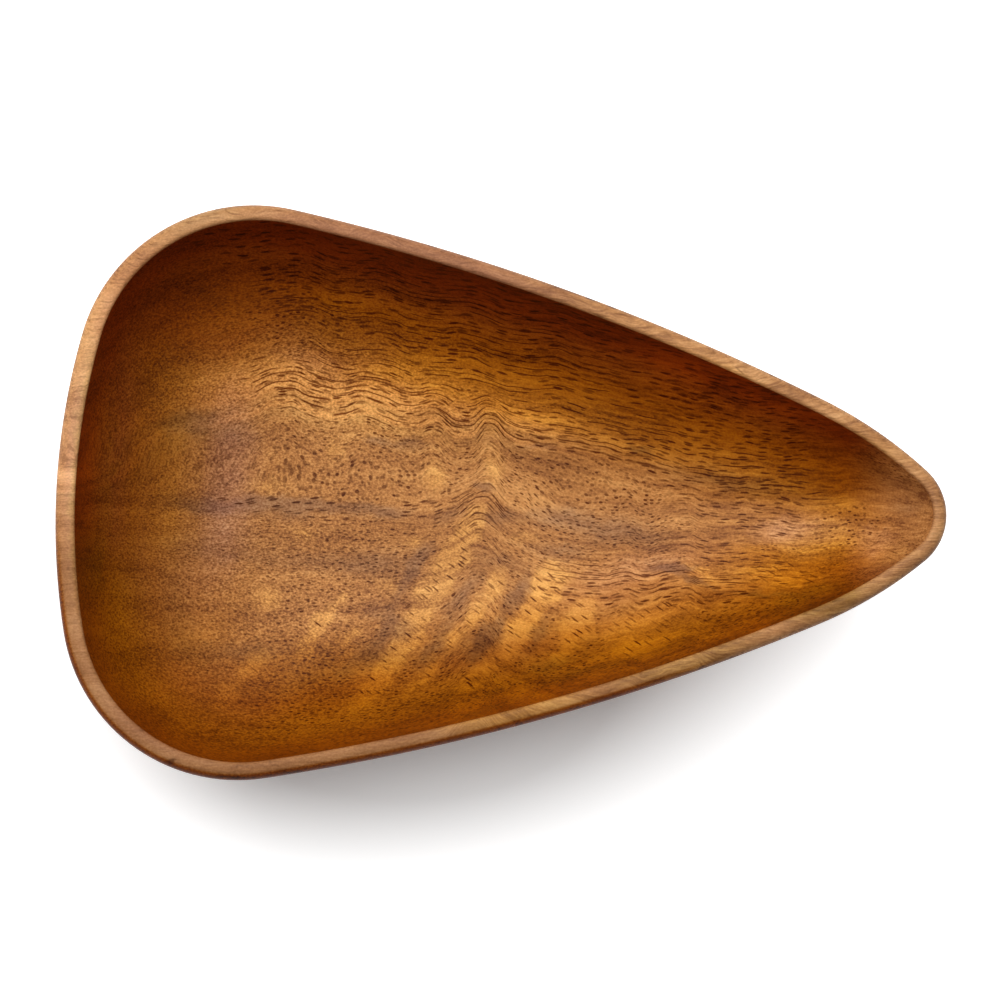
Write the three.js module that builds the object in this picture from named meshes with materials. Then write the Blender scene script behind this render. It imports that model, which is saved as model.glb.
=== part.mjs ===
// A trinket dish carved from one block of figured hardwood: a rounded triangle in plan, on a flat
// foot, with walls that flare up to a rounded rim and a smooth well that rises gently to the tip.
// Millimetres, +Z up, +X towards the narrow tip. The origin is on the table, under the middle.

import * as THREE from 'three';

// Plan of the rim: eight arcs that run into each other without a corner
const length = 200;
const width = 130.5;
const tipRadius = 13.6;
const tipTurn = THREE.MathUtils.degToRad(48.8); // how far the tip's arc bends to each side
const shoulderRadius = 97; // eases the tip into the long sides
const sideRadius = 530; // the slight outward bow of the two long sides
const cornerRadius = 39.8;
const endRadius = 159; // the bow of the wide end

// Heights and walls
const height = 44;
const floorThickness = 6.5;

// The rim falls away softly to the outside and has a crisper inner edge. The well is cut a little
// nearer to the tip than the outside is, which leaves the rim broader at the wide end.
const rimWidth = 3.9;
const outerRounding = 2.6;
const innerRounding = 0.9;
const wellShift = 0.7;

// The deepest place, which the foot and the well are both centred on
const heartFromEnd = 75;

// Outer wall: it leaves the foot at one slope and reaches the rim at the other, on one arc
const footLength = 104;
const footSlope = THREE.MathUtils.degToRad(20);
const rimSlope = THREE.MathUtils.degToRad(75);

// Well: a superellipse, cut off a little before it would stand upright at the rim
const wellFullness = 2.5; // 2 is a plain ellipse, and more makes the floor flatter
const wellReach = 0.98;
const tipEase = 0.5; // how much faster the well's rings draw back at the tip, so it rises gently

// Fineness of the carved surface
const facetLength = 5;
const facetAngle = THREE.MathUtils.degToRad(10);
const wallSteps = 8;
const outerSteps = 4;
const innerSteps = 2;
const wellSteps = 13;

const woodColour = 0xa86f3c;

const heart = new THREE.Vector2(-length / 2 + heartFromEnd, 0);

// Centre of an arc that two round corners both touch from inside, on the far side of the axis
function enclosingCentre(a, aRadius, b, bRadius, radius) {
  const between = b.clone().sub(a);
  const gap = between.length();
  const fromA = radius - aRadius;
  const fromB = radius - bRadius;
  const along = (fromA ** 2 - fromB ** 2 + gap ** 2) / (2 * gap);
  const across = Math.sqrt(fromA ** 2 - along ** 2);
  const direction = between.divideScalar(gap);
  const normal = new THREE.Vector2(-direction.y, direction.x);
  return a.clone().addScaledVector(direction, along).addScaledVector(normal, across);
}

// The arcs of the plan, counter-clockwise. Those of the upper half are drawn and then mirrored.
function planArcs() {
  const tip = new THREE.Vector2(length / 2 - tipRadius, 0);
  const tipOutward = new THREE.Vector2(Math.cos(tipTurn), Math.sin(tipTurn));
  const shoulder = tip.clone().addScaledVector(tipOutward, tipRadius - shoulderRadius);
  const end = new THREE.Vector2(-length / 2 + endRadius, 0);
  const cornerY = width / 2 - cornerRadius;
  const cornerX = end.x - Math.sqrt((endRadius - cornerRadius) ** 2 - cornerY ** 2);
  const corner = new THREE.Vector2(cornerX, cornerY);
  const side = enclosingCentre(shoulder, shoulderRadius, corner, cornerRadius, sideRadius);

  const shoulderTurn = shoulder.clone().sub(side).angle();
  const cornerTurn = corner.clone().sub(side).angle();
  const endTurn = corner.clone().sub(end).angle();
  const upper = [
    { centre: shoulder, radius: shoulderRadius, from: tipTurn, to: shoulderTurn },
    { centre: side, radius: sideRadius, from: shoulderTurn, to: cornerTurn },
    { centre: corner, radius: cornerRadius, from: cornerTurn, to: endTurn },
  ];
  const lower = upper.toReversed().map(({ centre, radius, from, to }) => {
    const mirrored = new THREE.Vector2(centre.x, -centre.y);
    return { centre: mirrored, radius, from: 2 * Math.PI - to, to: 2 * Math.PI - from };
  });
  return [
    { centre: tip, radius: tipRadius, from: -tipTurn, to: tipTurn },
    ...upper,
    { centre: end, radius: endRadius, from: endTurn, to: 2 * Math.PI - endTurn },
    ...lower,
  ];
}

// Points round the plan, each with the direction that points straight into the dish
function planPoints() {
  const points = [];
  for (const { centre, radius, from, to } of planArcs()) {
    const turn = to - from;
    const halfSteps = Math.ceil(Math.max((turn * radius) / facetLength, turn / facetAngle) / 2);
    const steps = 2 * halfSteps; // an even count puts a point at the middle of each arc
    for (let i = 0; i < steps; i++) {
      const angle = from + (turn * i) / steps;
      const outward = new THREE.Vector2(Math.cos(angle), Math.sin(angle));
      const place = centre.clone().addScaledVector(outward, radius);
      points.push({ place, inward: outward.negate() });
    }
  }
  return points;
}

// A station is one ring of the surface: the plan drawn in by inset, shrunk about the heart to
// share, and lifted to z. Its ease draws the ring back from the tip.
function outerWall(topHeight) {
  const footShare = footLength / length;
  const stations = [];
  for (let i = 0; i <= wallSteps; i++) {
    const slope = footSlope + ((rimSlope - footSlope) * i) / wallSteps;
    const out = (Math.sin(slope) - Math.sin(footSlope)) / (Math.sin(rimSlope) - Math.sin(footSlope));
    const up = (Math.cos(footSlope) - Math.cos(slope)) / (Math.cos(footSlope) - Math.cos(rimSlope));
    const share = footShare + (1 - footShare) * out;
    stations.push({ inset: 0, share, ease: 0, z: topHeight * up });
  }
  return stations;
}

function rim(outer, inner) {
  const stations = [];
  const quarter = Math.PI / 2;
  for (let i = 1; i <= outerSteps; i++) {
    const turn = (quarter * i) / outerSteps;
    const inset = outer * (1 - Math.cos(turn));
    stations.push({ inset, share: 1, ease: 0, z: height - outer * (1 - Math.sin(turn)) });
  }
  for (let i = 0; i < innerSteps; i++) {
    const turn = (quarter * i) / innerSteps;
    const inset = rimWidth - inner * (1 - Math.sin(turn));
    stations.push({ inset, share: 1, ease: 0, z: height - inner * (1 - Math.cos(turn)) });
  }
  return stations;
}

function well(topHeight) {
  const rise = (share) => 1 - (1 - (share * wellReach) ** wellFullness) ** (1 / wellFullness);
  const depth = topHeight - floorThickness;
  const stations = [];
  for (let i = 0; i < wellSteps; i++) {
    const share = Math.cos((Math.PI / 2) * (i / wellSteps)); // closer together up the wall
    const z = floorThickness + (depth * rise(share)) / rise(1);
    stations.push({ inset: rimWidth, share, ease: tipEase, z });
  }
  return stations;
}

function dishGeometry() {
  // neither rounding takes more than its share of the rim
  const outer = Math.min(outerRounding, rimWidth * 0.7);
  const inner = Math.min(innerRounding, rimWidth * 0.25);
  const plan = planPoints();
  const stations = [...outerWall(height - outer), ...rim(outer, inner), ...well(height - inner)];

  const positions = [];
  for (const { inset, share, ease, z } of stations) {
    const shift = wellShift * (inset / rimWidth);
    for (const { place, inward } of plan) {
      const towardsTip = THREE.MathUtils.smoothstep(place.x, heart.x, length / 2);
      const drawBack = 1 - (1 - share ** ease) * towardsTip;
      const at = place.clone().addScaledVector(inward, inset).sub(heart).multiplyScalar(share);
      positions.push(heart.x + at.x * drawBack + shift, heart.y + at.y, z);
    }
  }
  const footMiddle = positions.length / 3;
  positions.push(heart.x, heart.y, 0);
  const wellMiddle = footMiddle + 1;
  positions.push(heart.x + wellShift, heart.y, floorThickness);

  const triangles = [];
  const around = plan.length;
  const last = (stations.length - 1) * around;
  for (let i = 0; i < around; i++) {
    const next = (i + 1) % around;
    triangles.push(footMiddle, next, i);
    for (let row = 0; row < last; row += around) {
      triangles.push(row + i, row + next, row + around + next);
      triangles.push(row + i, row + around + next, row + around + i);
    }
    triangles.push(last + i, last + next, wellMiddle);
  }

  const geometry = new THREE.BufferGeometry();
  geometry.setAttribute('position', new THREE.Float32BufferAttribute(positions, 3));
  geometry.setIndex(triangles);
  geometry.computeVertexNormals();
  return geometry;
}

// Oiled wood with a satin sheen
const wood = new THREE.MeshStandardMaterial({ color: woodColour, roughness: 0.45, metalness: 0 });

const dish = new THREE.Mesh(dishGeometry(), wood);
dish.name = 'dish';

const trinketDish = new THREE.Group();
trinketDish.add(dish);

export default trinketDish;
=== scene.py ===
import math
import bpy
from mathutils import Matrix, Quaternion, Vector


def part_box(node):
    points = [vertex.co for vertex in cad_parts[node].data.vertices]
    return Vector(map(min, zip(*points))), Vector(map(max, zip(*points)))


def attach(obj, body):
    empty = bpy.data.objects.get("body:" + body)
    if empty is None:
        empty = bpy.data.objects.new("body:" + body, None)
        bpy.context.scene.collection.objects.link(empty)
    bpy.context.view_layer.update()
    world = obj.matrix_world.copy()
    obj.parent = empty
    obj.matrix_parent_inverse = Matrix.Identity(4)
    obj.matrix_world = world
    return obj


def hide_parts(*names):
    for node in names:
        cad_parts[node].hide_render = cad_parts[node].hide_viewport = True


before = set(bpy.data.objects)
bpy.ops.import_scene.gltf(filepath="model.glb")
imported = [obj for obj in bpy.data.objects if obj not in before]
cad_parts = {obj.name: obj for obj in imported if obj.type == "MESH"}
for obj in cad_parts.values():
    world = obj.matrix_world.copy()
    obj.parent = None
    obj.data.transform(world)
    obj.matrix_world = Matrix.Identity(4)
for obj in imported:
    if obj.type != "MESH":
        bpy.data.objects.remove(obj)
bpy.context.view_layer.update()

cadLow, cadHigh = (Vector(corner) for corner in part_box("dish"))
mm = 0.001  # the frame is in metres, and this dish is easier to think of in millimetres
print("frame loaded: the carved solid is", *(round(side / mm, 1) for side in cadHigh - cadLow), "mm")


# The dish, in millimetres and degrees
carving = {
    "width": 130.5,
    "tipRadius": 13.6,
    "tipTurn": 48.8,         # how far the tip's arc bends to each side
    "shoulderRadius": 97.0,  # eases the tip into the long sides
    "sideRadius": 530.0,     # bow of the two long sides
    "cornerRadius": 39.8,
    "endRadius": 159.0,      # bow of the wide end
    "rimWidth": 3.9,
    "outerRounding": 2.6,    # the rim falls away softly to the outside
    "innerRounding": 0.9,
    "wellShift": 0.7,        # the well sits nearer the tip, so the rim is broader at the wide end
    "floorThickness": 6.5,
    "heartFromEnd": 75.0,    # deepest place, measured from the wide end
    "footLength": 104.0,
    "footSlope": 20.0,
    "rimSlope": 75.0,
    "wellFullness": 2.5,
    "wellReach": 0.98,
    "tipEase": 0.5,          # the well's rings draw back faster at the tip, so it rises gently
    "arcStep": 2.0,          # spacing of the points along the long arcs
    "arcTurn": 5.0,          # and on the tight ones
    "weldGap": 0.01,         # points nearer than this become one
    "wallRings": 20,
    "outerRings": 6,
    "innerRings": 4,
    "wellRings": 32,
    "middleGap": 0.4,        # share of a ring that the last one stays away from the middle
}


def pickAll():
    bpy.ops.mesh.select_all(action="SELECT")


def growFace(lift, share, about):
    # pulls the picked face on by one ring, shrunk or spread about a point
    bpy.ops.mesh.extrude_region_move(TRANSFORM_OT_translate={"value": (0, 0, lift)})
    bpy.ops.transform.resize(value=(share, share, 1), center_override=about)


def enclosingCentre(a, aRadius, b, bRadius, radius):
    # centre of the arc that touches two round corners from outside
    gap = (b - a).length
    fromA, fromB = radius - aRadius, radius - bRadius
    along = (fromA ** 2 - fromB ** 2 + gap ** 2) / (2 * gap)
    across = math.sqrt(fromA ** 2 - along ** 2)
    direction = (b - a) / gap
    return a + direction * along + Vector((-direction.y, direction.x)) * across


def drawPlan(shape):
    # the eight arcs of the rim, spun one after the other from a single point
    length, width = cadHigh.x - cadLow.x, shape["width"] * mm
    radii = ("tipRadius", "shoulderRadius", "sideRadius", "cornerRadius", "endRadius")
    tipR, shoulderR, sideR, cornerR, endR = (shape[name] * mm for name in radii)
    tipTurn = math.radians(shape["tipTurn"])
    outward = Vector((math.cos(tipTurn), math.sin(tipTurn)))
    tip = Vector((length / 2 - tipR, 0))
    shoulder = tip - outward * (shoulderR - tipR)
    end = Vector((-length / 2 + endR, 0))
    cornerY = width / 2 - cornerR
    corner = Vector((end.x - math.sqrt((endR - cornerR) ** 2 - cornerY ** 2), cornerY))
    side = enclosingCentre(shoulder, shoulderR, corner, cornerR, sideR)

    def heading(v):
        return math.atan2(v.y, v.x) % math.tau

    shoulderTurn = heading(shoulder - side)
    cornerTurn = heading(corner - side)
    endTurn = heading(corner - end)
    upper = [(shoulder, shoulderR, shoulderTurn - tipTurn),
             (side, sideR, cornerTurn - shoulderTurn),
             (corner, cornerR, endTurn - cornerTurn)]
    lower = [(Vector((centre.x, -centre.y)), radius, turn) for centre, radius, turn in reversed(upper)]
    arcs = [(tip, tipR, 2 * tipTurn), *upper, (end, endR, math.tau - 2 * endTurn), *lower]

    start = tip + Vector((outward.x, -outward.y)) * tipR
    bpy.ops.mesh.primitive_plane_add(size=mm, location=(start.x, start.y, 0))
    bpy.ops.object.mode_set(mode="EDIT")
    pickAll()
    bpy.ops.mesh.merge(type="CENTER")
    for centre, radius, turn in arcs:
        alongArc = turn * radius / (shape["arcStep"] * mm)
        roundArc = turn / math.radians(shape["arcTurn"])
        steps = math.ceil(max(alongArc, roundArc))
        bpy.ops.mesh.spin(steps=steps, angle=-turn, center=(centre.x, centre.y, 0), axis=(0, 0, 1))
    pickAll()
    bpy.ops.mesh.remove_doubles(threshold=shape["weldGap"] * mm)
    bpy.ops.mesh.edge_face_add()


def wallRise(shape, step):
    # how far out and up the outer wall is at one ring, each from 0 to 1
    low, high = math.radians(shape["footSlope"]), math.radians(shape["rimSlope"])
    slope = low + (high - low) * step
    out = (math.sin(slope) - math.sin(low)) / (math.sin(high) - math.sin(low))
    up = (math.cos(low) - math.cos(slope)) / (math.cos(low) - math.cos(high))
    return out, up


def wellRise(shape, share):
    # height of the well's superellipse at a share of its reach
    power = shape["wellFullness"]
    return 1 - (1 - (share * shape["wellReach"]) ** power) ** (1 / power)


def carveDish(shape):
    bpy.ops.object.select_all(action="DESELECT")
    length, height = cadHigh.x - cadLow.x, cadHigh.z
    heart = Vector((cadLow.x + shape["heartFromEnd"] * mm, 0, 0))
    outer, inner = shape["outerRounding"] * mm, shape["innerRounding"] * mm
    drawPlan(shape)

    # foot and outer wall
    footShare = shape["footLength"] * mm / length
    bpy.ops.transform.resize(value=(footShare, footShare, 1), center_override=heart)
    share, z = footShare, 0.0
    for ring in range(1, shape["wallRings"] + 1):
        out, up = wallRise(shape, ring / shape["wallRings"])
        nextShare = footShare + (1 - footShare) * out
        nextZ = (height - outer) * up
        growFace(nextZ - z, nextShare / share, heart)
        share, z = nextShare, nextZ

    # rim, rounded over both edges
    rimWidth = shape["rimWidth"] * mm
    rings = []
    for ring in range(1, shape["outerRings"] + 1):
        turn = math.pi / 2 * ring / shape["outerRings"]
        rings.append((outer * (1 - math.cos(turn)), height - outer * (1 - math.sin(turn))))
    for ring in range(shape["innerRings"] + 1):
        turn = math.pi / 2 * ring / shape["innerRings"]
        rings.append((rimWidth - inner * (1 - math.sin(turn)), height - inner * (1 - math.cos(turn))))
    inset = 0.0
    for nextInset, nextZ in rings:
        step = nextInset - inset
        bpy.ops.mesh.inset(thickness=step, use_even_offset=True)
        bpy.ops.transform.translate(value=(shape["wellShift"] * mm * step / rimWidth, 0, nextZ - z))
        inset, z = nextInset, nextZ

    # well
    depth = height - inner - shape["floorThickness"] * mm
    deepest = heart + Vector((shape["wellShift"] * mm, 0, 0))
    share, shares = 1.0, []
    for ring in range(1, shape["wellRings"] + 1):
        nextShare = math.cos(math.pi / 2 * ring / (shape["wellRings"] + shape["middleGap"]))
        shares.append(nextShare)
        nextZ = shape["floorThickness"] * mm + depth * wellRise(shape, nextShare) / wellRise(shape, 1)
        growFace(nextZ - z, nextShare / share, deepest)
        share, z = nextShare, nextZ

    pickAll()
    bpy.ops.mesh.normals_make_consistent(inside=False)
    bpy.ops.object.mode_set(mode="OBJECT")
    dish = bpy.context.active_object
    dish.name = "carvedDish"
    bpy.ops.object.transform_apply(location=True, rotation=True, scale=True)

    # towards the tip the well's rings draw back, each ring being one run of vertices
    around = len(dish.data.vertices) // (1 + shape["wallRings"] + len(rings) + len(shares))
    well = dish.data.vertices[-around * len(shares):]
    for index, vertex in enumerate(well):
        share = shares[index // around]
        out = (vertex.co.x - deepest.x) / share
        towards = min(max(out / (cadHigh.x - heart.x), 0), 1)
        towards = towards ** 2 * (3 - 2 * towards)
        drawBack = 1 - (1 - share ** shape["tipEase"]) * towards
        vertex.co.x = deepest.x + (vertex.co.x - deepest.x) * drawBack
    bpy.ops.object.shade_smooth()
    return dish


dish = carveDish(carving)
print("dish carved:", len(dish.data.polygons), "faces")


# Monkeypod, or a hardwood much like it, carved, sanded fine and rubbed with oil. To the eye that gives
# open pores as short dark dashes, thin wavy growth lines, rippled golden bands and a low satin sheen.
# The golden bands are the fibres catching the light, put into the colour as painted sheen.
# It is one solid pattern in millimetres. The growth rings lean over towards the lower wall, so they
# show as fine lines where the surface cuts across them and as a soft figure where it follows them.
grain = {
    "light": "#d89957",
    "middle": "#b3753d",
    "dark": "#7e4925",
    "roughness": 0.38,
    "ior": 1.4,
    "specular": 0.09,  # the oil lies in the wood and not on it, so the surface mirrors little

    # changes of tone: size in millimetres along, across and through the wood, how finely broken, strength
    "clouds": ((35.714, 9.0909, 20), 4, 1.1),
    "bands": ((20, 1.42857, 3.33333), 2, 1.1),
    "fibres": ((2.5, 0.416667, 0.833333), 2, 0.5),
    "mottle": ((0.555556, 0.434783, 0.434783), 2, 1),
    "bandsOffRim": 0.6,              # how much less of each the rim shows
    "mottleOffRim": 0.7,
    "raisedSize": (2.5, 0.4, 0.4),   # grain that the sanding leaves standing
    "raisedHeight": 0.2,
    "raisedStrength": 0.1,

    # what is laid on one by one: how ragged its edges are, how far it goes through the wood, and how
    # strong each kind has to be to start showing and to show in full
    "raggedSize": 4,
    "raggedReach": (5, 3.6, 3.6),
    "brushDepth": 300,
    "goldenSheenShows": (0.05, 0.85),
    "shadedShows": (0, 0.9),
    "dashedShows": (0.1, 0.6),
    "linedShows": (0.1, 0.9),
    "coarseShows": (0.1, 0.9),
    "blottedShows": (0.1, 0.8),
    "nicksShow": (0.1, 0.8),
    "stainsAndShadeShow": (0, 1),

    # growth rings
    "lean": 0.7,                     # how far they lean over, as a share of the height
    "rippleSize": (8.33333, 20, 20),
    "rippleHeight": 3,
    "lineSpacing": 1.6,
    "lineWidth": (0.18, 0.03),       # half of it and of its dark core, as shares of the spacing
    "lineDrift": 2.5,                # how many spacings the lines wander by
    "driftSize": (33.3333, 6.66667, 20),
    "runLength": 5.2632,             # how far a line runs before it swells or fades
    "runShift": 5.3,                 # sets the runs of one line off from the next
    "runThrough": 0.03,              # how fast they change through the wood
    "runGap": (0.45, 0.58),          # below the first it breaks off, above the second it is whole
    "heavyGap": (0.33, 0.5),
    "heavyRuns": (2, 1, 1),          # heavy lines have runs half as long
    "heavyCore": 0.3,                # full dark over this share of their width
    "heavyStrength": 0.85,
    "lineEnd": 8,                    # how far a heavy line tapers at each end
    "rimLineSize": (8.33333, 0.666667, 0.666667),
    "rimLineGap": (0.55, 0.68),

    # fades by depth under the top of the rim: from, to
    "rimOutside": (3.2, 1.8),
    "rimInside": (1.1, 0.6),
    "poreDepth": (0.6, 1.4),
    "lipShadeDepth": (2.4, 1.2),
    "nickDepth": (3, 2),
    # by the way that the surface faces
    "facesOutward": (0, 4),
    "facesUp": (0.75, 0.95),
    "facesDown": (0, -0.15),
    # along x, and how strong at each end
    "leanAlong": (90, 30, 0.72, 1),
    "figureAlong": (-70, 40, 0.35, 1),
    "mottleAlong": (20, -50, 0.8, 1.6),
    "ringToneAlong": (32, 2),
    "specksAlong": (-20, -60, 0.45, 0.6),
    "dotsAlong": (-80, -40, 0.35, 1),
    "dashesAlong": (78, 66, 0.15, 1),
    "tipAlong": (77, 94),
    "wideEndAlong": (-60, -90),
    # and across, along y
    "leanAcross": (-20, 5),
    "upperLinesAcross": (1, 17),
    "wallLinesAcross": (20, 33),
    "ticksAcross": (4, -6),
    "lowerWallAcross": (-4, -24),
    "wideEndAcross": (-30, 0),
    # and round the rim, from the upper side to the lower, where towards the tip y counts for less
    "sideTurn": 0.45,
    "shadowedRound": (-5, -30),
    "rimAboveRound": (-35, 25),
    "rimLinesRound": (-40, 20, 0.2, 0.5),
    "wallTurn": 0.16,                # the walls come nearer to the middle towards the tip

    # how far the lines stray across the dish at each x, on the upper wall and on both halves of the floor
    "strayLength": 200,
    "strayReach": 25,
    "wallLines": [
        (-100, 8), (-62, 6), (-48, 7.6), (-40, 4.6), (-30, 5.6), (-21, 2.8), (-8, 3.4), (1, 1.2),
        (10, 1.6), (22, -0.4), (34, -0.8), (60, -3), (100, 0),
    ],
    "upperLines": [
        (-100, 6), (-82, 6), (-72, 5), (-63, 5.4), (-52, 8.5), (-48, 6.7), (-43.5, 5.2), (-39, 4.7),
        (-34.5, 6.2), (-28.5, 5.3), (-24, 3.7), (-20.5, 3.5), (-17, 5.2), (-14, 3.8), (-11, 1.8),
        (-8.5, 1.9), (-6, 4.1), (-3, 7.3), (-1, 5.3), (1, 3.3), (6, 1.5), (11, 0.9), (19, 0.8),
        (30, -0.1), (37, -1.3), (46.5, -3), (56, -3.2), (69.5, -2.4), (83, -0.5), (100, 2),
    ],
    "lowerLines": [
        (-100, -3), (-50, 0), (-20, 1), (-12, 3), (-7.5, 6.8), (-5, 8.3), (-2, 7), (1, 3.8),
        (4.5, 1.9), (14, -2), (24, -3.2), (30, -2.4), (33.5, -3.6), (39, -1.7), (44, -1.1),
        (47, -2.6), (54, -2), (69.5, -2.4), (83, -0.5), (100, 2),
    ],
    # lightness of the wood across the growth rings of the upper side
    "toneReach": 90,
    "ringTone": [
        (0, 1), (14, 1), (19, 0.97), (22, 0.9), (24, 1.15), (26, 1), (28, 1.2), (31, 1.22),
        (36, 1.12), (42, 1.05), (50, 1), (60, 0.97), (90, 0.95),
    ],
    # single long growth lines: ring, from x, to x, half width
    "heavyLines": [
        (26.6, -24, 38, 0.32), (24.8, 2, 42, 0.4), (28.6, -6, 24, 0.24), (33.6, -64, -12, 0.3),
        (31.6, -58, -20, 0.26), (29.6, -50, -8, 0.26), (3.6, -14, 8, 0.26),
    ],

    # each kind of pore: spacing along, across and through the wood, half size of the mark and
    # softness of its edge as shares of that. A real vessel is 0.2 to 0.3 mm wide, about one pixel
    # here, so they are drawn about twice as coarse, which is what it takes for them to show.
    "dots": ((1.7, 0.85, 0.85), 0.32, 0.16),
    "specks": ((1.2, 0.62, 0.7), 0.37, 0.24),
    "dashes": ((4.4, 1.15, 0), 0.24, 0.13),
    "coarse": ((6.2, 1.8, 0), 0.21, 0.12),
    "blots": ((1.6, 1.15, 1.2), 0.32, 0.2),
    "ticks": ((6.3, 1.2, 0), 0.17, 0.1),
    "tickTurn": -35,
    "tickStray": 0.15,               # how far the ticks follow the ragged edges
    "faintestPore": 0.5,

    # laid on one by one: place x and y, half length, half breadth, turn in degrees, strength
    "goldenSheenBands": [
        (-28.5, -43, 9, 3.4, 54, 1.2), (-24.5, -36.5, 9, 3.8, 65, 1.5),
        (-20, -27.5, 8.5, 4.5, 62, 1.7), (-15.5, -18.5, 9, 4.8, 61, 1.7),
        (-11, -10, 8, 4.8, 60, 1.7), (-7, -2, 7.5, 4.1, 59, 1.5), (-18.5, -41.5, 7, 2.4, 50, 0.6),
        (-14.5, -37, 6, 2.7, 54, 1), (-9.5, -30, 4.5, 4.3, 0, 1.1), (-5.5, -23.5, 5, 3.1, 59, 1.1),
        (-1, -16, 6.5, 3.4, 64, 1.2), (-6.5, -41, 6.5, 3.1, 40, 0.7), (-3.5, -38, 6.5, 3.4, 45, 1),
        (2, -32.5, 6.5, 4.1, 52, 1.2), (6, -26, 8, 4.1, 59, 1.3), (10, -18.5, 7, 4.8, 59, 1.5),
        (12.5, -14.5, 6.5, 5.1, 61, 1.5), (14.5, -33.5, 4.5, 2.7, 54, 0.8),
        (18.5, -25.5, 8, 5.1, 74, 1.6), (22, -19.5, 4.5, 5, 0, 0.6),
        (33.5, -24.5, 15.5, 6.8, 15, 0.9), (44.5, -19, 12.5, 4.3, 15, 0.6),
        (-20.5, -6.5, 4.5, 2.8, 0, 0.7), (-26, -17, 4.5, 4, 0, 0.6), (5.5, -4.5, 5, 2.8, 0, 0.6),
        (5.5, -0.5, 3.5, 1.9, 0, 0.4), (-54, -21.5, 6, 5, 0, 0.9), (-57.5, 5.5, 10, 3.4, 0, 0.6),
        (-46.5, -5.5, 5.5, 2.8, 0, 0.7), (-40.5, 15, 3, 4.3, 0, 0.6), (-37.5, 14.5, 2, 3.7, 0, 0.5),
        (-44, -32, 5, 3.1, 60, 1), (-41, -26, 6, 3.1, 59, 1.1), (-36.5, -20.5, 4.5, 2.4, 51, 0.7),
        (-34, -29.5, 4.5, 2.4, 50, 0.8), (-61, -44, 6, 3.8, 46, 0.9),
        (-56, -37.5, 6.5, 3.4, 53, 0.9), (-16, 9.5, 4.5, 6.2, 10, 0.7), (-2, 11.5, 4, 6.8, 0, 0.65),
        (5, 34.5, 5.5, 3.4, 0, 0.5), (4, 38, 4.5, 3.1, 0, 0.5), (-52, 50, 4.5, 3.7, 0, 0.35),
        (-50.5, 45.5, 4.5, 3.1, 0, 0.35), (46.5, -11.5, 6.5, 1.7, -31, 1),
        (87, -8, 10.5, 5, -8, 0.6), (82.5, -3.5, 12.5, 5, 0, 0.35), (60.5, -13, 18.5, 4.3, -8, 0.5),
        (73, -16, 12.5, 3.7, -20, 0.5), (-61, -48.5, 23, 4.5, -9, 0.35),
        (-37.5, -53, 28.5, 2.7, 10, 0.45), (23, 10, 18.5, 5, 0, 0.3), (14, 6, 9.5, 3.1, 0, 0.2),
        (-25.5, 8.5, 18.5, 4.3, 0, 0.2), (51.5, 0.5, 15.5, 3.7, 0, 0.3),
        (67.5, -1, 15.5, 4.3, 0, 0.35), (36.5, -29.5, 18.5, 4.3, 18, 0.9),
        (69.5, -10.5, 13.5, 5, 18, 0.8), (83.5, -10.5, 9.5, 3.7, 20, 0.5),
    ],
    "shadedStreaks": [
        (-70.5, -1, 15.5, 2.8, 0, 0.8), (-51, 0.5, 13.5, 4.3, 0, 0.9),
        (-59.5, 1.5, 28, 2.5, 0, 0.5), (-37, 1.5, 10.5, 2.5, 0, 0.6),
        (-26.5, 0.5, 10.5, 3.1, 0, 0.9), (-13, 0.5, 7.5, 3.1, 25, 0.6),
        (-23.5, 17, 9.5, 2.5, 0, 0.7), (-31, 17.5, 5, 1.9, 0, 0.6), (-73.5, 19, 10, 4, 20, 0.8),
        (-63.5, 16.5, 15, 5.6, 0, 0.5), (-19, -10, 6, 2.7, 54, 0.7), (-28.5, -23.5, 5, 3.7, 0, 0.4),
        (-23, -27.5, 5.5, 3.7, 0, 0.6), (-47, -12, 15.5, 4.3, 0, 0.35), (-35, -12, 15.5, 5, 0, 0.4),
        (-75.5, -10.5, 12.5, 4.3, 0, 0.25), (-63, -12.5, 12.5, 3.7, 0, 0.25),
        (0.5, 0.5, 8, 3.1, 0, 0.55), (14, 0.5, 10.5, 3.7, 0, 0.6), (26, -2.5, 12.5, 4.3, 0, 0.55),
        (0.5, -10, 10.5, 3.1, -15, 0.4), (14.5, -7.5, 10.5, 2.8, 0, 0.5),
        (35.5, -4.5, 9.5, 4.3, 0, 0.4), (39, -10.5, 8, 2.8, 0, 0.6), (9, 17, 8, 1.5, 0, 0.6),
        (-4.5, 18.5, 4.5, 2.5, 0, 0.3), (32, 16.5, 5.5, 1.5, -20, 0.9),
        (-4.5, 7.5, 4.5, 1.5, -10, 0.7), (22, -30, 5, 4.3, 50, 0.4), (-3.5, -30, 7, 5.6, 50, 0.6),
        (-10, -42.5, 7.5, 3.7, 30, 0.3), (10.5, -36.5, 7.5, 4.3, 20, 0.4),
        (-14.5, -32, 9.5, 2.7, 61, 0.7), (-8, -19, 11, 2.7, 62, 0.6), (-3.5, -31, 10, 2.7, 57, 0.8),
        (4, -19, 9.5, 2.7, 62, 0.6), (-20.5, -14, 10, 2.4, 58, 0.6), (-26, -27, 9.5, 2.4, 66, 0.5),
        (10, -28, 10.5, 2.4, 59, 0.7), (-34.5, -38, 8, 2.4, 56, 0.5), (0, -26, 5, 3.7, 50, 0.4),
        (4, -17.5, 6, 3.7, 60, 0.35), (-59.5, -34.5, 18.5, 4.3, 5, 0.6),
        (-45.5, -39, 7.5, 4.3, 10, 0.4), (-38.5, -36, 6, 5, 50, 0.4), (-29, -34, 5.5, 4.3, 50, 0.4),
        (-19, -23, 40, 18.6, 20, 0.3), (91.5, 2.5, 7, 2.5, 0, 0.5), (69, 9.5, 9.5, 3.1, -8, 0.25),
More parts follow.
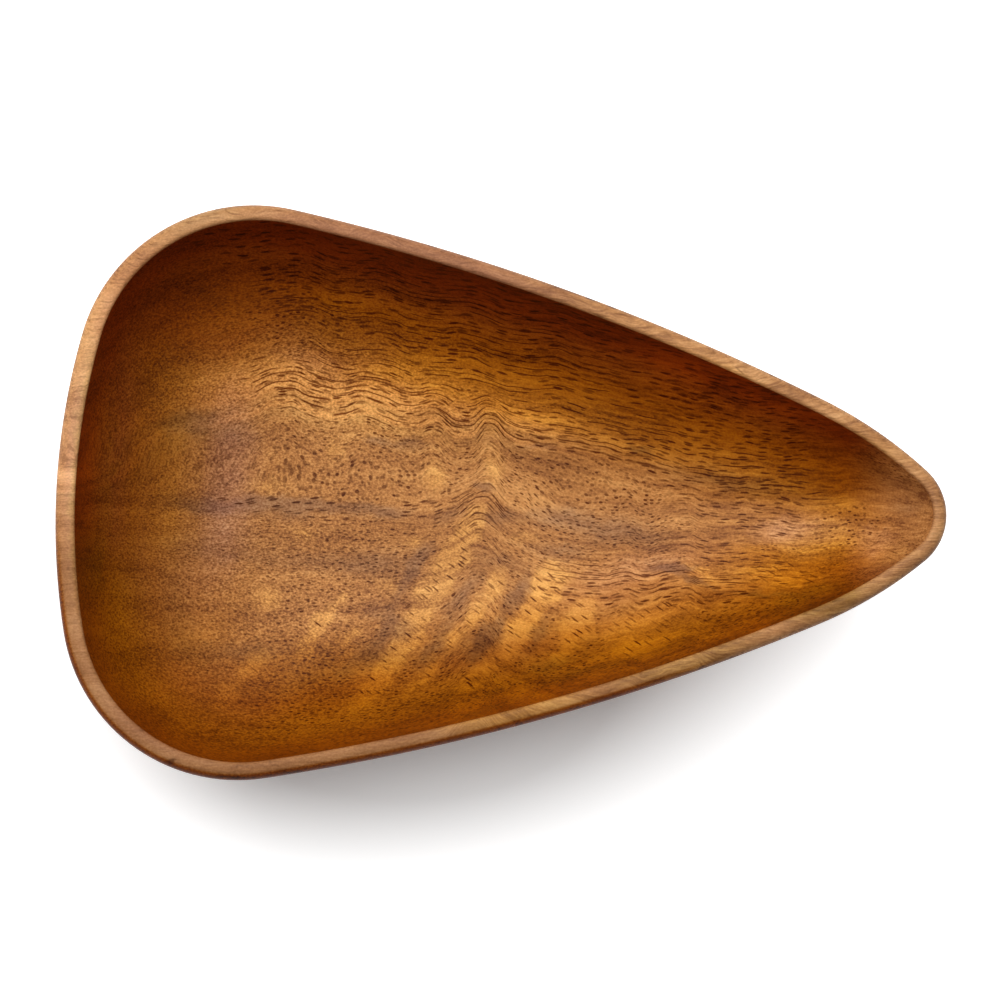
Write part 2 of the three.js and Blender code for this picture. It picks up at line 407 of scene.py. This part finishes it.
        (58, 21, 12.5, 3.7, -18, 0.3), (83.5, 10.5, 12.5, 3.1, -30, 0.35),
        (-91.5, -18, 13.5, 3.8, -84, 0.6), (-80.5, 22.5, 12.5, 18.6, 0, 0.5),
        (-62.5, -8, 18.5, 9.3, 0, 0.35), (-77.5, -33.5, 12.5, 18.6, 0, 0.35),
        (-27, -32.5, 9.5, 6.2, 0, 0.4), (-27, -11, 12.5, 6.2, 0, 0.4), (53.5, 9, 28, 3.7, -10, 0.7),
        (21.5, -1, 34, 10.5, 0, 0.3), (-90, 9, 8, 8, 0, 0.3), (-72.5, 48.5, 15.5, 5, -20, 0.4),
        (-0.5, -46.5, 15.5, 1.5, 21, 0.6), (19.5, -37.5, 18.5, 1.9, 18, 0.7),
        (0.5, -42, 8, 1.4, 25, 0.5), (15, -35, 9.5, 2.8, 20, 0.5), (41.5, -11, 8, 1.5, 5, 0.8),
        (45, -14, 9, 1.2, -24, 0.9), (60, -17.5, 13, 1.4, -5, 0.8),
    ],
    "dashedParts": [
        (58, 20, 30, 14, -20, 1.6), (-37, 30, 31, 8, 0, 1.6), (4, 21, 43, 6.2, -6, 1.6),
        (46.5, 12.5, 28, 7, -14, 1.6), (70, 3, 40, 11, -4, 1.4), (-41.5, 0, 9.3, 4.3, -25, 1.2),
        (-56, 1, 20, 3.6, 0, 1), (-19, 1, 13.5, 5, 0, 1.2), (-5, 3, 9.3, 8, -25, 1.5),
        (35.5, -16.5, 37, 6.2, 0, 1.6), (56.5, -9, 21.7, 4.3, -18, 1.6),
    ],
    "linedParts": [
        (-36, 30, 40, 12, 0, 2.4), (6, 25, 44, 9, -8, 2.4), (52, 12, 36, 7, -15, 2),
        (-4.5, 2.5, 9, 5, -25, 2), (36, -14, 34, 5, -6, 2.4), (-45, 50, 20, 8, 0, 1.4),
        (-8, 42, 64, 16, -14, 1.3),
    ],
    "coarseParts": [
        (-8, 50, 96, 22, -14, 3),
    ],
    "blottedParts": [
        (-50, 44, 16, 10, 0, 2), (79, -2, 15, 9, 0, 1.3),
    ],
    "nicks": [
        (-71, -61.5, 3, 0.9, 20, 1.2), (-42, -63, 7, 0.7, 2, 1.2), (-57, -64.5, 9, 0.7, 0, 0.9),
        (-20, -58.5, 6, 0.6, 14, 0.8), (32.5, -42.5, 3, 0.8, 18, 1), (46, -36.5, 2.5, 0.8, 20, 1),
        (66, -28.5, 5, 0.6, 24, 0.8), (20, 42.5, 4, 0.6, -22, 0.7), (52, 31, 3, 0.6, -25, 0.7),
    ],
    # broad patches, partly stains in the wood and partly painted light and shade on the walls and floor of
    # the well, each with what it does to red, green and blue
    "stainsAndShade": [
        ((-66, 46, 34, 16, 20, 1.6), (0.7, 0.55, 0.6)), ((-78, 6, 24, 44, 0, 1.6), (0.95, 1.05, 2)),
        ((-86, 2, 9, 36, 0, 1.6), (0.87, 0.85, 1.1)),
        ((-66, -48, 24, 16, 0, 1.6), (0.87, 0.79, 0.88)),
        ((-42, -41, 26, 14, 5, 1.6), (0.92, 0.83, 0.55)),
        ((-20, -24, 46, 14, 0, 1.6), (1.12, 1.16, 1.22)),
        ((2, -46, 26, 8, 10, 1.6), (1.2, 1.24, 0.85)),
        ((0, -33, 22, 8, 8, 1.6), (0.87, 0.83, 0.97)),
        ((38, -18, 30, 14, 12, 1.6), (1.1, 1.18, 1.8)),
        ((40, -34, 24, 6, 18, 1.6), (1.15, 1.3, 1.05)),
        ((74, -4, 18, 7, -6, 1.6), (1.26, 1.5, 2.8)), ((72, -20, 16, 6, 20, 1.6), (0.68, 0.7, 0.5)),
        ((74, 13, 20, 9, -16, 1.6), (0.82, 0.75, 0.5)),
        ((2, 21, 22, 7, -5, 1.6), (1.16, 1.25, 1.35)),
        ((40, 22, 24, 10, -18, 1.6), (0.91, 0.86, 0.78)),
        ((-40, 40, 22, 9, 0, 1.6), (0.92, 0.9, 1.2)),
        ((-24, 28, 48, 17, -5, 1.6), (1.22, 1.28, 1.2)),
        ((-22, 54, 48, 8, -14, 1.6), (0.82, 0.75, 0.9)),
        ((46, 29, 22, 6, -22, 1.6), (1.22, 1.22, 1)),
        ((-70, 65, 22, 8, 30, 1.4), (0.8, 0.84, 0.86)),
        ((-98, 22, 5, 22, -10, 1.4), (1.1, 1.16, 1.16)),
        ((-92.5, 2, 5, 36, 0, 1.6), (1.14, 1.36, 0.95)),
    ],

    # what the golden bands (painted sheen), the streaks and the pores do to the colour that they lie on, as
    # shares of red, green and blue
    "goldenSheen": (1.33, 1.45, 1.32),
    "shaded": (0.63, 0.66, 0.92),
    "pore": (0.2, 0.09, 0.02),
    # and the painted shade and light by the steepness of a wall, from upright to level: steep walls darker
    # and redder, the upper one more, level wood a little lighter. The tip and the outside get milder tints
    # instead
    "upperWallShade": [
        (0.25, (0.49, 0.15, 0.016)), (0.38, (0.53, 0.19, 0.032)), (0.5, (0.58, 0.29, 0.072)),
        (0.6, (0.66, 0.385, 0.08)), (0.7, (0.71, 0.46, 0.057)), (0.79, (0.75, 0.54, 0.095)),
        (0.85, (0.86, 0.7, 0.2)), (0.9, (0.94, 0.84, 0.41)), (0.95, (1.01, 1.03, 1.02)),
        (0.985, (1.05, 1.12, 1.2)),
    ],
    "lowerWallShade": [
        (0.25, (0.54, 0.28, 0.015)), (0.38, (0.6, 0.34, 0.018)), (0.5, (0.62, 0.4, 0.03)),
        (0.6, (0.68, 0.48, 0.052)), (0.7, (0.69, 0.5, 0.095)), (0.79, (0.72, 0.54, 0.19)),
        (0.85, (0.78, 0.67, 0.36)), (0.9, (0.91, 0.83, 0.59)), (0.95, (1.02, 1.03, 0.98)),
        (0.98, (1.06, 1.12, 1.2)),
    ],
    "tipWall": (0.97, 1, 1.08),
    "outerWall": (0.74, 0.6, 0.4),
    # and the rim: painted light on its upper side, painted shade on its lower side, and its tint at the
    # wide end
    "rimLitAbove": (1.15, 1.4, 2.1),
    "rimShadedBelow": (0.85, 0.95, 1.4),
    "rimEnd": (1.2, 1.2, 1.2),
    "rimLight": 1.01,
    "rimMottle": 0.15,
    "rimFibres": 0.5,
    # painted shade on the outer rounding of the rim's lower side
    "lipShade": (0.66, 0.5, 0.42),
    "nick": (0.42, 0.36, 0.34),
}

wood = bpy.data.materials.new("oiledMonkeypod")
wood.use_nodes = True
tree = wood.node_tree
shader = tree.nodes["Principled BSDF"]


def paint(hexColour):
    # sRGB hex to linear
    channels = [int(hexColour[i:i + 2], 16) / 255 for i in (1, 3, 5)]
    return [c / 12.92 if c <= 0.04045 else ((c + 0.055) / 1.055) ** 2.4 for c in channels]


def add(kind, settings, *values):
    # one node with its settings. Its live sockets take the values in their order, and a value that is
    # a node stands for that node's first live output.
    node = tree.nodes.new("ShaderNode" + kind)
    for name, value in settings.items():
        if name == "stroke":  # the points of a drawn curve
            points = node.mapping.curves[0].points
            points[0].location, points[1].location = value[0], value[-1]
            for across, up in value[1:-1]:
                points.new(across, up)
            node.mapping.update()
        elif name == "stops":  # the places of a ramp, each with its colour
            elements = node.color_ramp.elements
            elements[0].position, elements[1].position = value[0][0], value[-1][0]
            elements[0].color, elements[1].color = (*value[0][1], 1), (*value[-1][1], 1)
            for position, colour in value[1:-1]:
                elements.new(position).color = (*colour, 1)
        else:
            setattr(node, name, value)
    for socket, value in zip([s for s in node.inputs if s.enabled], values):
        if isinstance(value, bpy.types.Node):
            value = next(output for output in value.outputs if output.enabled)
        if isinstance(value, bpy.types.NodeSocket):
            tree.links.new(value, socket)
        elif socket.type == "RGBA":
            socket.default_value = (*value, 1)
        else:
            socket.default_value = value
    return node


# settings that many nodes share
plus, minus = {"operation": "ADD"}, {"operation": "SUBTRACT"}
times, over = {"operation": "MULTIPLY"}, {"operation": "DIVIDE"}
timesPlus, scaled = {"operation": "MULTIPLY_ADD"}, {"operation": "SCALE"}
larger, unsigned = {"operation": "MAXIMUM"}, {"operation": "ABSOLUTE"}
soft = {"interpolation_type": "SMOOTHSTEP"}
tinted = {"data_type": "RGBA", "blend_type": "MULTIPLY"}
blended = {"data_type": "RGBA"}

coordinate = add("TexCoord", {})
normal = coordinate.outputs["Normal"]
inMm = add("VectorMath", scaled, coordinate.outputs["Object"], 1 / mm)
x, y, z = add("SeparateXYZ", {}, inMm).outputs
upright = add("SeparateXYZ", {}, normal).outputs["Z"]

# the top of the rim. On the lower side its outer rounding is left out of it and gets the painted shade of
# the wall below it
below = add("Math", minus, cadHigh.z / mm, z)  # depth under the top of the rim
outward = add("VectorMath", {"operation": "DOT_PRODUCT"}, normal, add("VectorMath", times, inMm, (1, 1, 0)))
outer = add("MapRange", soft, outward, *grain["facesOutward"])
side = add("Math", timesPlus, add("Math", larger, x, 0), grain["sideTurn"], y)
rim = add("Math", times, add("MapRange", soft, below, *grain["rimOutside"]), outer)
rim = add("Math", larger, add("MapRange", soft, below, *grain["rimInside"]), rim)
shadowed = add("Math", times, outer, add("MapRange", soft, side, *grain["shadowedRound"]))
rim = add("Mix", {}, shadowed, rim, add("MapRange", soft, upright, *grain["facesUp"]))
offRim = add("Math", minus, 1, rim)
outside = add("MapRange", soft, upright, *grain["facesDown"])

# everything laid on one by one gets ragged edges
ragged = add("TexNoise", {}, inMm, 1 / grain["raggedSize"], 3).outputs["Color"]
strayed = add("VectorMath", timesPlus, ragged, grain["raggedReach"], inMm)
place = add("VectorMath", minus, strayed, [reach / 2 for reach in grain["raggedReach"]])


def brush(marks, shows):
    # soft spots and streaks laid on one by one
    total = 0.0
    for atX, atY, halfLength, halfBreadth, turn, strength in marks:
        inSpot = add("Mapping", {"vector_type": "TEXTURE"}, place, (atX, atY, 0),
                     (0, 0, math.radians(turn)), (halfLength, halfBreadth, grain["brushDepth"]))
        spot = add("TexGradient", {"gradient_type": "SPHERICAL"}, inSpot).outputs["Fac"]
        total = add("Math", timesPlus, spot, strength, total)
    return add("MapRange", soft, total, *shows)


# painted sheen: the golden bands, where the rippled fibres catch the light
goldenSheen = brush(grain["goldenSheenBands"], grain["goldenSheenShows"])
shaded = brush(grain["shadedStreaks"], grain["shadedShows"])
dashed = brush(grain["dashedParts"], grain["dashedShows"])
lined = brush(grain["linedParts"], grain["linedShows"])
coarse = brush(grain["coarseParts"], grain["coarseShows"])

# which growth ring the wood belongs to, in millimetres across the rings
length, reach = grain["strayLength"], grain["strayReach"]
along = add("Math", timesPlus, x, 1 / length, 0.5)
strays = []
for name in ("lowerLines", "upperLines", "wallLines"):
    stroke = [(at / length + 0.5, off / (2 * reach) + 0.5) for at, off in grain[name]]
    drawn = add("FloatCurve", {"stroke": stroke}, 1, along)
    strays.append(add("Math", timesPlus, drawn, 2 * reach, -reach))
stray = add("Mix", {}, add("MapRange", soft, y, *grain["upperLinesAcross"]), strays[0], strays[1])
wallSide = add("Math", timesPlus, x, grain["wallTurn"], y)
stray = add("Mix", {}, add("MapRange", soft, wallSide, *grain["wallLinesAcross"]), stray, strays[2])
lean = add("MapRange", soft, y, *grain["leanAcross"], 0, grain["lean"])
lean = add("Math", times, lean, add("MapRange", soft, x, *grain["leanAlong"]))
ring = add("Math", minus, add("Math", timesPlus, z, lean, y), stray)
ripple = add("TexNoise", {}, add("VectorMath", over, inMm, grain["rippleSize"]), 1)
ring = add("Math", minus, ring, grain["rippleHeight"] / 2)
ring = add("Math", timesPlus, ripple, grain["rippleHeight"], ring)
flow = add("CombineXYZ", {}, x, ring, z)

# tone of the wood between the pores, livelier towards the tip and plainer on the rim
figure = add("MapRange", soft, x, *grain["figureAlong"])
grainy = add("MapRange", soft, x, *grain["mottleAlong"])
bandsHere = add("Math", timesPlus, rim, -grain["bandsOffRim"], grain["bands"][2])
mottleHere = add("Math", timesPlus, rim, -grain["mottleOffRim"], grain["mottle"][2])
strengths = {
    "clouds": grain["clouds"][2],
    "bands": add("Math", times, figure, bandsHere),
    "fibres": add("Math", times, figure, grain["fibres"][2]),
    "mottle": add("Math", times, grainy, mottleHere),
}
tone, swings = 0.5, {}
for name, strength in strengths.items():
    size, detail = grain[name][:2]
    where = inMm if name == "mottle" else flow
    pattern = add("TexNoise", {}, add("VectorMath", over, where, size), 1, detail)
    swings[name] = add("Math", minus, pattern, 0.5)
    tone = add("Math", timesPlus, swings[name], strength, tone)
stops = [(0.1, paint(grain["dark"])), (0.5, paint(grain["middle"])), (0.95, paint(grain["light"]))]
colour = add("ValToRGB", {"stops": stops}, tone)

stroke = [(at / grain["toneReach"], lightness - 0.5) for at, lightness in grain["ringTone"]]
ringTone = add("FloatCurve", {"stroke": stroke}, 1, add("Math", over, ring, grain["toneReach"]))
ringTone = add("Math", plus, ringTone, 0.5)
ringTone = add("Mix", {}, add("MapRange", soft, x, *grain["ringToneAlong"]), 1, ringTone)
colour = add("VectorMath", scaled, colour, ringTone)
# the golden bands' painted sheen lightens the colour
colour = add("Mix", tinted, goldenSheen, colour, grain["goldenSheen"])
colour = add("Mix", tinted, shaded, colour, grain["shaded"])
plainColour = colour
# the broad patches, partly stains and partly painted light and shade, go on inside only; the outside keeps
# the colour without them
for mark, tint in grain["stainsAndShade"]:
    colour = add("Mix", tinted, brush([mark], grain["stainsAndShadeShow"]), colour, tint)
colour = add("Mix", blended, outside, colour, plainColour)

# thin dark growth lines, which swell, fade and break off
drift = add("TexNoise", {}, add("VectorMath", over, flow, grain["driftSize"]), 1)
phase = add("Math", over, ring, grain["lineSpacing"])
phase = add("Math", timesPlus, drift, grain["lineDrift"], phase)
row = add("Math", {"operation": "FLOOR"}, phase)
offLine = add("Math", minus, add("Math", {"operation": "FRACT"}, phase), 0.5)
offLine = add("Math", unsigned, offLine)
run = add("CombineXYZ", {}, add("Math", over, x, grain["runLength"]),
          add("Math", times, row, grain["runShift"]), add("Math", times, z, grain["runThrough"]))
body = add("MapRange", soft, add("TexNoise", {}, run, 1, 1), *grain["runGap"])
lines = add("MapRange", soft, offLine, *grain["lineWidth"])
lines = add("Math", times, lines, add("Math", times, body, lined))

shortRun = add("VectorMath", times, run, grain["heavyRuns"])
broken = add("MapRange", soft, add("TexNoise", {}, shortRun, 1, 1), *grain["heavyGap"])
for middle, start, stop, halfWidth in grain["heavyLines"]:
    off = add("Math", unsigned, add("Math", minus, ring, middle))
    line = add("MapRange", soft, off, halfWidth, halfWidth * grain["heavyCore"])
    line = add("Math", times, line, add("MapRange", soft, x, start, start + grain["lineEnd"]))
    ending = add("MapRange", soft, x, stop, stop - grain["lineEnd"], 0, grain["heavyStrength"])
    line = add("Math", times, line, ending)
    lines = add("Math", larger, lines, add("Math", times, line, broken))


def pores(kind, where):
    # dark marks, one to a cell, each of its own strength
    spacing, size, softness = grain[kind]
    shape = {"feature": "F1", "voronoi_dimensions": "3D" if all(spacing) else "2D"}
    cell = add("TexVoronoi", shape, add("VectorMath", over, where, spacing), 1)
    mark = add("MapRange", soft, cell, size + softness / 2, size - softness / 2)
    chance = add("SeparateColor", {}, cell.outputs["Color"])
    strength = add("MapRange", {}, chance, 0, 1, grain["faintestPore"], 1)
    return add("Math", times, mark, strength)


# pores, each kind in its own parts of the dish, and fainter in the fine wood of the wide end
marked = add("Math", larger, add("Math", larger, dashed, coarse), goldenSheen)
between = add("Math", {"operation": "SUBTRACT", "use_clamp": True}, 1, marked)
bent = add("Mix", {"data_type": "VECTOR"}, grain["tickStray"], inMm, place)
turned = add("Mapping", {}, bent, (0, 0, 0), (0, 0, math.radians(-grain["tickTurn"])))
dark = lines
for kind, where, part in (
        ("specks", flow, add("Math", times, between, add("MapRange", soft, x, *grain["specksAlong"]))),
        ("dots", flow, add("Math", times, between, add("MapRange", soft, x, *grain["dotsAlong"]))),
        ("dashes", flow, add("Math", times, dashed, add("MapRange", soft, x, *grain["dashesAlong"]))),
        ("ticks", turned, add("Math", times, goldenSheen, add("MapRange", soft, y, *grain["ticksAcross"]))),
        ("coarse", flow, coarse),
        ("blots", flow, brush(grain["blottedParts"], grain["blottedShows"]))):
    dark = add("Math", larger, dark, add("Math", times, pores(kind, where), part))
dark = add("Math", times, dark, add("MapRange", soft, below, *grain["poreDepth"]))
colour = add("Mix", tinted, dark, colour, grain["pore"])

# painted shade: steep walls go darker and redder, the upper wall, which faces away from the lamps, more
# than the lower, and level wood a little lighter
facing = add("Math", unsigned, upright)
upperWallShade = add("ValToRGB", {"stops": grain["upperWallShade"]}, facing)
lowerWallShade = add("ValToRGB", {"stops": grain["lowerWallShade"]}, facing)
onLower = add("MapRange", soft, y, *grain["lowerWallAcross"])
wallShade = add("Mix", blended, onLower, upperWallShade, lowerWallShade)
atTip = add("MapRange", soft, x, *grain["tipAlong"])
wallShade = add("Mix", blended, atTip, wallShade, grain["tipWall"])
wallShade = add("Mix", blended, outside, wallShade, grain["outerWall"])
colour = add("Mix", tinted, offRim, colour, wallShade)

# the rim is paler, dry and handled wood with painted sheen on it, with painted light on its upper side and
# painted shade on its lower, its grain raised and its edge nicked
above = add("MapRange", soft, side, *grain["rimAboveRound"])
rimTint = add("Mix", blended, above, grain["rimShadedBelow"], grain["rimLitAbove"])
atEnd = add("MapRange", soft, x, *grain["wideEndAlong"])
atEnd = add("Math", times, atEnd, add("MapRange", soft, y, *grain["wideEndAcross"]))
rimTint = add("Mix", tinted, atEnd, rimTint, grain["rimEnd"])
rimTone = add("Math", timesPlus, swings["mottle"], grain["rimMottle"], grain["rimLight"])
rimTone = add("Math", timesPlus, swings["fibres"], grain["rimFibres"], rimTone)
rimTint = add("VectorMath", scaled, rimTint, rimTone)
rimLines = add("TexNoise", {}, add("VectorMath", over, flow, grain["rimLineSize"]), 1)
rimLines = add("MapRange", soft, rimLines, *grain["rimLineGap"])
rimLines = add("Math", times, rimLines, add("MapRange", soft, side, *grain["rimLinesRound"]))
rimTint = add("Mix", tinted, rimLines, rimTint, grain["nick"])
colour = add("Mix", tinted, rim, colour, rimTint)
# painted shade: the outer rounding on the lower side goes darker just under the rim's top, where it turns
# away from the lamps
lipShade = add("Math", times, shadowed, offRim)
lipShade = add("Math", times, lipShade, add("MapRange", soft, below, *grain["lipShadeDepth"]))
colour = add("Mix", tinted, lipShade, colour, grain["lipShade"])
nicked = brush(grain["nicks"], grain["nicksShow"])
nicked = add("Math", times, nicked, add("MapRange", soft, below, *grain["nickDepth"]))
colour = add("Mix", tinted, nicked, colour, grain["nick"])
tree.links.new(colour.outputs[2], shader.inputs["Base Color"])  # the third output of a Mix is its colour

shader.inputs["Roughness"].default_value = grain["roughness"]
shader.inputs["IOR"].default_value = grain["ior"]
shader.inputs["Specular IOR Level"].default_value = grain["specular"]
raised = add("TexNoise", {}, add("VectorMath", over, inMm, grain["raisedSize"]), 1, 1)
bump = add("Bump", {}, grain["raisedStrength"], grain["raisedHeight"] * mm)
tree.links.new(raised.outputs["Fac"], bump.inputs["Height"])
tree.links.new(bump.outputs["Normal"], shader.inputs["Normal"])
dish.data.materials.clear()
dish.data.materials.append(wood)
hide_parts("dish")
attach(dish, "root")
print("wood made:", len(tree.nodes), "nodes")


# Matt white card under the dish, a pale room, two soft lamps and the camera
stage = {
    "card": "#f2f2f2",
    "cardRoughness": 0.9,
    "cardSize": 12.0,                # metres
    "cardBelow": 0.2,                # keeps the card clear of the foot, in millimetres
    "cardGlow": 0.93,                # for the camera, and less where the dish's shadow falls
    "shadeGlow": 0.22,
    "shadePlace": (-0.023, -0.031, 0),
    "shadeSize": (0.12, 0.08, 1),
    "shadeFull": 0.55,               # how far towards its middle the shade is full
    "roomLight": 0.04,
    # azimuth, elevation, distance, width and height, watts
    "softbox": (-22, 67, 1.2, (1.3, 1.3), 18.7),
    "fill": (-95, 55, 1.2, (1.4, 1.4), 2.4),
    "cameraElevation": 82.0,
    "cameraDistance": 0.6,
    "cameraAim": (-0.34, -0.65),     # millimetres
    "lens": 96.6,
    "roll": -2.3,
}


def shownRays():
    # 1 for rays that come from the camera, straight or by way of gloss or glass
    rays = add("LightPath", {}).outputs
    through = add("Math", plus, rays["Is Glossy Ray"], rays["Is Transmission Ray"])
    return add("Math", {"operation": "ADD", "use_clamp": True}, rays["Is Camera Ray"], through)


bpy.ops.mesh.primitive_plane_add(size=stage["cardSize"], location=(0, 0, -stage["cardBelow"] * mm))
floor = bpy.context.active_object
floor.name = "floor"
cardPaint = bpy.data.materials.new("whiteCard")
cardPaint.use_nodes = True
tree = cardPaint.node_tree
card = tree.nodes["Principled BSDF"]
card.inputs["Base Color"].default_value = (*paint(stage["card"]), 1)
card.inputs["Roughness"].default_value = stage["cardRoughness"]
card.inputs["Specular IOR Level"].default_value = 0.0
card.inputs["Emission Color"].default_value = (1, 1, 1, 1)
inShade = add("Mapping", {"vector_type": "TEXTURE"}, add("TexCoord", {}).outputs["Object"],
              stage["shadePlace"], (0, 0, 0), stage["shadeSize"])
shade = add("TexGradient", {"gradient_type": "SPHERICAL"}, inShade).outputs["Fac"]
glow = add("MapRange", {}, shade, 0, stage["shadeFull"], stage["cardGlow"], stage["shadeGlow"])
glow = add("Math", times, shownRays(), glow)
tree.links.new(glow.outputs[0], card.inputs["Emission Strength"])
floor.data.materials.append(cardPaint)

world = bpy.data.worlds.new("room")
bpy.context.scene.world = world
world.use_nodes = True
tree = world.node_tree
sky = tree.nodes["Background"]
sky.inputs["Color"].default_value = (1, 1, 1, 1)
light = add("Mix", {}, shownRays(), stage["roomLight"], 1)
tree.links.new(light.outputs["Result"], sky.inputs["Strength"])

for name in ("softbox", "fill"):
    azimuth, elevation, distance, size, watts = stage[name]
    around, up = math.radians(azimuth), math.radians(elevation)
    away = Vector((math.sin(around) * math.cos(up), math.cos(around) * math.cos(up), math.sin(up)))
    bpy.ops.object.light_add(type="AREA", location=away * distance)
    lamp = bpy.context.active_object
    lamp.name = name
    lamp.data.shape = "RECTANGLE"
    lamp.data.size, lamp.data.size_y = size
    lamp.data.energy = watts
    lamp.rotation_euler = away.to_track_quat("Z", "Y").to_euler()

up = math.radians(stage["cameraElevation"])
aim = Vector((stage["cameraAim"][0] * mm, stage["cameraAim"][1] * mm, cadHigh.z))
back = Vector((0, -math.cos(up), math.sin(up)))
roll = Quaternion((0, 0, 1), math.radians(-stage["roll"]))
bpy.ops.object.camera_add(location=aim + back * stage["cameraDistance"])
camera = bpy.context.active_object
camera.data.lens = stage["lens"]
camera.data.sensor_width = 36
camera.rotation_mode = "QUATERNION"
camera.rotation_quaternion = back.to_track_quat("Z", "Y") @ roll
bpy.context.scene.camera = camera
bpy.context.scene.view_settings.view_transform = "Standard"
print("stage set: card, room, two lamps and the camera")
